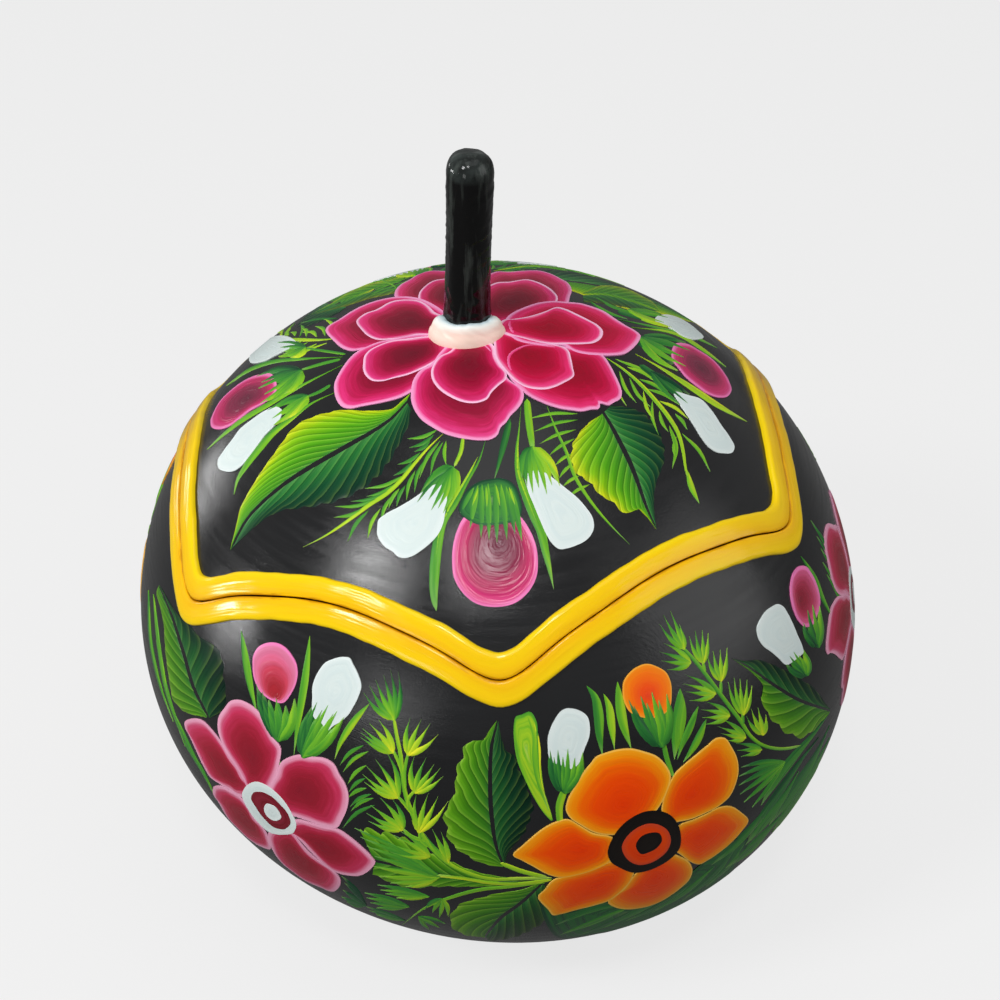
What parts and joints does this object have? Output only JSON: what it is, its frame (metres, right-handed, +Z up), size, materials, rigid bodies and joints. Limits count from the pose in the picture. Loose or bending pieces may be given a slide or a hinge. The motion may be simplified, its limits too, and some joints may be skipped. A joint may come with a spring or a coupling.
{
  "type": "lacquered gourd box",
  "caption": "Round dried-gourd box with a scalloped lift-off lid, raised borders along the cut and the gourd's stem as the handle.",
  "frame": {"origin": "on the surface that the gourd stands on, below the middle of its bounding box", "axes": "+Z up, the way the lid lifts, -Y towards the viewer of the picture, +X to that viewer's right"},
  "size_m": [0.1555, 0.156, 0.1737],
  "materials": {
    "bowl_rind": "gloss black lacquer on dried rind, painted with flowers",
    "bowl_border_paste": "gloss yellow lacquer on a raised paste",
    "lid_rind": "gloss black lacquer on dried rind, painted with flowers",
    "lid_border_paste": "gloss yellow lacquer on a raised paste",
    "stem_wood": "thick gloss black lacquer",
    "collar_filler": "satin cream filler"
  },
  "bodies": {
    "bowl": {"bowl_shell": "bowl_rind", "bowl_border": "bowl_border_paste"},
    "lid": {"lid_shell": "lid_rind", "lid_border": "lid_border_paste", "stem": "stem_wood", "stem_collar": "collar_filler"}
  },
  "joints": [
    {"name": "lid_lift", "type": "slide", "parent": "bowl", "child": "lid", "axis": [0, 0, 1], "range_m": [0, 0.09]}
  ]
}
